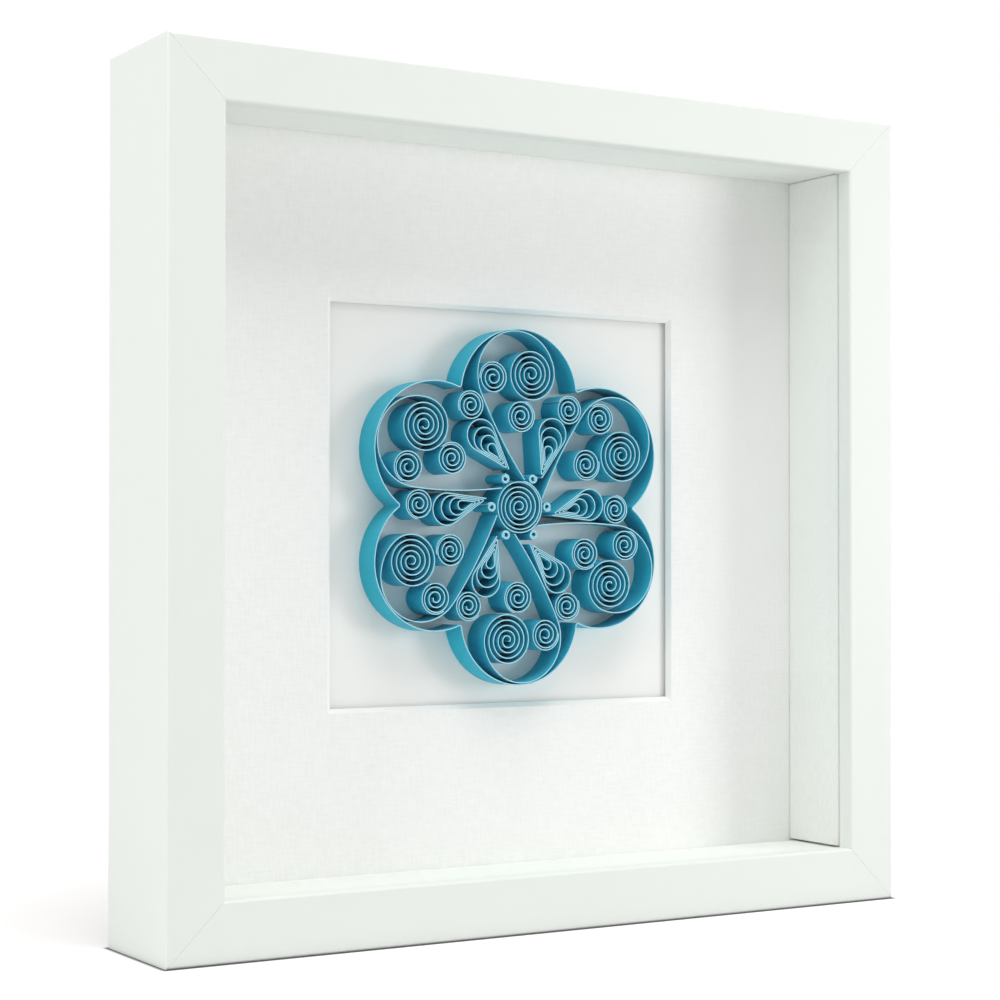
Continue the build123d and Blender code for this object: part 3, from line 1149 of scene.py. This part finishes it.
    def strip(self, node: str, path: Path, bearing: float, seed: float) -> None:
        """Make one paper strip in place of its solid.

        Args:
            node: Name of the solid's node.
            path: Points along the middle of the strip.
            bearing: Bearing of its arm.
            seed: Number that its unevenness comes from.
        """
        ribbon = self.ribbon(path, bearing, seed)
        made = piece(f"{node}_paper", ribbon, Slot.PAPER, [STRIP_FACE, STRIP_EDGE_AND_HIGHLIGHT], node)
        paper = made.modifiers.new("paper thickness", "SOLIDIFY")
        paper.thickness = self.strip_t * MM
        paper.offset = 0.0
        paper.use_even_offset = True
        paper.material_offset_rim = 1
        ease = made.modifiers.new("eased cut", "BEVEL")
        ease.width = self.edge_ease * MM
        ease.segments = 1
        ease.profile = 0.5
        ease.limit_method = "ANGLE"
        ease.angle_limit = radians(self.edge_angle)
        even_shading(made)

    def build(self) -> None:
        """Make the outline, the centre coil and the pieces of each arm."""
        centre = self.coil((0.0, 0.0), self.hub_r, self.hub_turns, self.hub_bearing, 0.5)
        self.strip("outline_strip", self.outline_path(), self.first_arm, 0.3)
        self.strip("centre_coil", centre, self.first_arm, 0.7)
        for i in range(self.arms):
            bearing = self.first_arm + i * self.arm_turn
            seed = i + self.first_seed
            self.strip(f"scroll_{i + 1}", self.scroll_path(seed), bearing, seed)
            self.strip(f"small_coil_{i + 1}", self.small_path(seed + 20), bearing, seed + 20)
            self.strip(f"fill_coil_{i + 1}", self.fill_path(seed + 30), bearing, seed + 30)
            self.strip(f"notch_coil_{i + 1}", self.notch_path(seed + 40), bearing, seed + 40)
            self.strip(f"drop_{i + 1}", self.drop_path(), bearing, seed + 60)
            self.strip(f"peg_{i + 1}", self.peg_path(), bearing, seed + 80)


# Studio

@dataclass(frozen=True)
class Lamp:
    """One square soft lamp, turned to the middle of the frame.

    Attributes:
        name: Its name.
        place: Its place, in metres.
        side: Its side, in metres.
        power: Its power, in watts.
    """

    name: str
    place: Place
    side: float
    power: float

    def build(self) -> None:
        """Make the lamp."""
        light = bpy.data.lights.new(self.name, "AREA")
        light.shape = "SQUARE"
        light.size = self.side
        light.energy = self.power
        lamp = bpy.data.objects.new(self.name, light)
        lamp.location = self.place
        middle = (CAD_BOX[0] + CAD_BOX[1]) / 2
        lamp.rotation_euler = (middle - lamp.location).to_track_quat("-Z", "Y").to_euler()
        bpy.context.scene.collection.objects.link(lamp)


@dataclass
class Studio:
    """Pale floor, soft light and the camera.

    Attributes:
        floor_side: Side of the floor, in metres.
        floor_tone: Share of light that the floor throws back.
        glow_near: How far the floor is lifted towards white where it is seen, near the frame.
        near: Distance up to which it is lifted so, in metres.
        far: Distance from which it is lifted to full white, in metres.
        contact: How far from the frame's foot the contact shadow painted on the floor reaches, in metres.
        contact_tone: Share of the floor's light that the painted contact shadow leaves at the foot.
        dome: Strength of the light from all round.
        above: The large lamp overhead.
        right: The lamp in front on the right.
        left: The lamp beside the frame on the left.
        eye: Place of the camera, in metres.
        yaw: How far the camera looks to the right of +Y, in degrees.
        pitch: How far it looks up, in degrees.
        focal_pixels: Focal length in pixels of the image.
        shift: Shift of the image, right and up, in widths of the image.
    """

    floor_side: float = 12.0
    floor_tone: float = 0.8
    glow_near: float = 0.38
    near: float = 0.13
    far: float = 0.5
    contact: float = 0.0021
    contact_tone: float = 0.1
    dome: float = 0.44
    above: Lamp = Lamp("overhead lamp", (0.0, -0.36, 1.18), 0.8, 7.7)
    right: Lamp = Lamp("right lamp", (0.7, -0.65, 0.18), 0.3, 2.3)
    left: Lamp = Lamp("left lamp", (-1.0, -0.12, 0.36), 0.7, 3.9)
    eye: Place = (-0.36326, -0.5944, 0.10859)
    yaw: float = 31.75
    pitch: float = 0.768
    focal_pixels: float = 2307.0
    shift: Point = (-0.04, 0.03)

    def build(self) -> None:
        """Make the floor, the lights and the camera."""
        bpy.context.scene.view_settings.view_transform = "Standard"
        self.floor()
        self.world()
        for lamp in (self.above, self.right, self.left):
            lamp.build()
        self.camera()

    @staticmethod
    def seen_directly(wiring: Wiring) -> bpy.types.NodeSocket:
        """Output that is 1 for what the camera sees, straight, in a shine or through the pane.

        Args:
            wiring: Tree of a material or of the world.

        Returns:
            The share's output.
        """
        rays = wiring.add("ShaderNodeLightPath").outputs
        straight = wiring.math("MAXIMUM", rays["Is Camera Ray"], rays["Is Glossy Ray"])
        return wiring.math("MAXIMUM", straight, rays["Is Transmission Ray"])

    def painted_foot_shadow(self, wiring: Wiring, where: bpy.types.NodeSocket) -> bpy.types.NodeSocket:
        """Output that is 1 on the open floor and falls off towards the frame's foot: a contact shadow
        painted by distance from the frame's box.

        Args:
            wiring: Tree of the floor's material.
            where: Coordinates on the floor.

        Returns:
            The share's output.
        """
        low, high = [(corner.x, corner.y, 0.0) for corner in CAD_BOX]
        past_high = wiring.vector("SUBTRACT", where, high)
        past_low = wiring.vector("SUBTRACT", low, where)
        past_box = wiring.vector("MAXIMUM", past_high, past_low)
        gap = wiring.length(wiring.vector("MAXIMUM", past_box, (0.0, 0.0, 0.0)))
        fall = wiring.add("ShaderNodeMapRange", {"interpolation_type": "SMOOTHSTEP"}, Value=gap,
                          From_Min=0.0, From_Max=self.contact, To_Min=self.contact_tone, To_Max=1.0)
        return fall.outputs[0]

    def floor(self) -> None:
        """Make the pale floor, white to the eye where no shadow lies on it, with a contact shadow painted
        round the frame's foot.
        """
        mesh = bmesh.new()
        bmesh.ops.create_grid(mesh, x_segments=1, y_segments=1, size=self.floor_side / 2)
        data = bpy.data.meshes.new("floor")
        mesh.to_mesh(data)
        mesh.free()
        material = bpy.data.materials.new("pale floor")
        material.use_nodes = True
        material.node_tree.nodes.clear()
        wiring = Wiring(material.node_tree)
        where = wiring.add("ShaderNodeTexCoord").outputs["Object"]
        # Painted contact shadow: the floor's colour and glow are darkened by distance from the frame's box.
        clear = self.painted_foot_shadow(wiring, where)
        tone = wiring.math("MULTIPLY", clear, self.floor_tone)
        matt = wiring.add("ShaderNodeBsdfDiffuse", Color=tone).outputs["BSDF"]
        away = wiring.length(where)
        lift = wiring.add("ShaderNodeMapRange", {"interpolation_type": "SMOOTHSTEP"}, Value=away,
                          From_Min=self.near, From_Max=self.far, To_Min=self.glow_near,
                          To_Max=1.0 - self.floor_tone * self.dome)
        lifted = wiring.math("MULTIPLY", lift.outputs[0], clear)
        glow = wiring.math("MULTIPLY", self.seen_directly(wiring), lifted)
        lit = wiring.add("ShaderNodeEmission", Color=(1.0, 1.0, 1.0, 1.0), Strength=glow).outputs["Emission"]
        both = wiring.add("ShaderNodeAddShader")
        wiring.feed(both.inputs[0], matt)
        wiring.feed(both.inputs[1], lit)
        wiring.surface(both.outputs["Shader"])
        data.materials.append(material)
        ground = bpy.data.objects.new("floor", data)
        bpy.context.scene.collection.objects.link(ground)

    def world(self) -> None:
        """Make the light from all round, white where it is seen."""
        world = bpy.data.worlds.new("white room")
        world.use_nodes = True
        world.node_tree.nodes.clear()
        wiring = Wiring(world.node_tree)
        seen = self.seen_directly(wiring)
        extra = wiring.math("MULTIPLY", seen, 1.0 - self.dome)
        strength = wiring.math("ADD", extra, self.dome)
        room = wiring.add("ShaderNodeBackground", Color=(1.0, 1.0, 1.0, 1.0), Strength=strength)
        wiring.add("ShaderNodeOutputWorld", Surface=room.outputs["Background"])
        bpy.context.scene.world = world

    def camera(self) -> None:
        """Make the camera and look through it."""
        lens = bpy.data.cameras.new("camera")
        lens.lens = self.focal_pixels / PHOTO_SIDE * lens.sensor_width
        lens.shift_x, lens.shift_y = self.shift
        lens.clip_start = 0.01
        eye = bpy.data.objects.new("camera", lens)
        eye.location = self.eye
        turn, lift = radians(self.yaw), radians(self.pitch)
        ahead = Vector((sin(turn) * cos(lift), cos(turn) * cos(lift), sin(lift)))
        eye.rotation_euler = ahead.to_track_quat("-Z", "Y").to_euler()
        bpy.context.scene.collection.objects.link(eye)
        bpy.context.scene.camera = eye


def main() -> None:
    """Build every sub-assembly, then the studio."""
    logging.basicConfig(level=logging.INFO, format="%(name)s: %(message)s")
    for assembly in (BoxFrame(), Sheets(), Back(), Rosette(), Studio()):
        LOG.info("building %s", type(assembly).__name__)
        assembly.build()


if __name__ == "__main__":
    main()
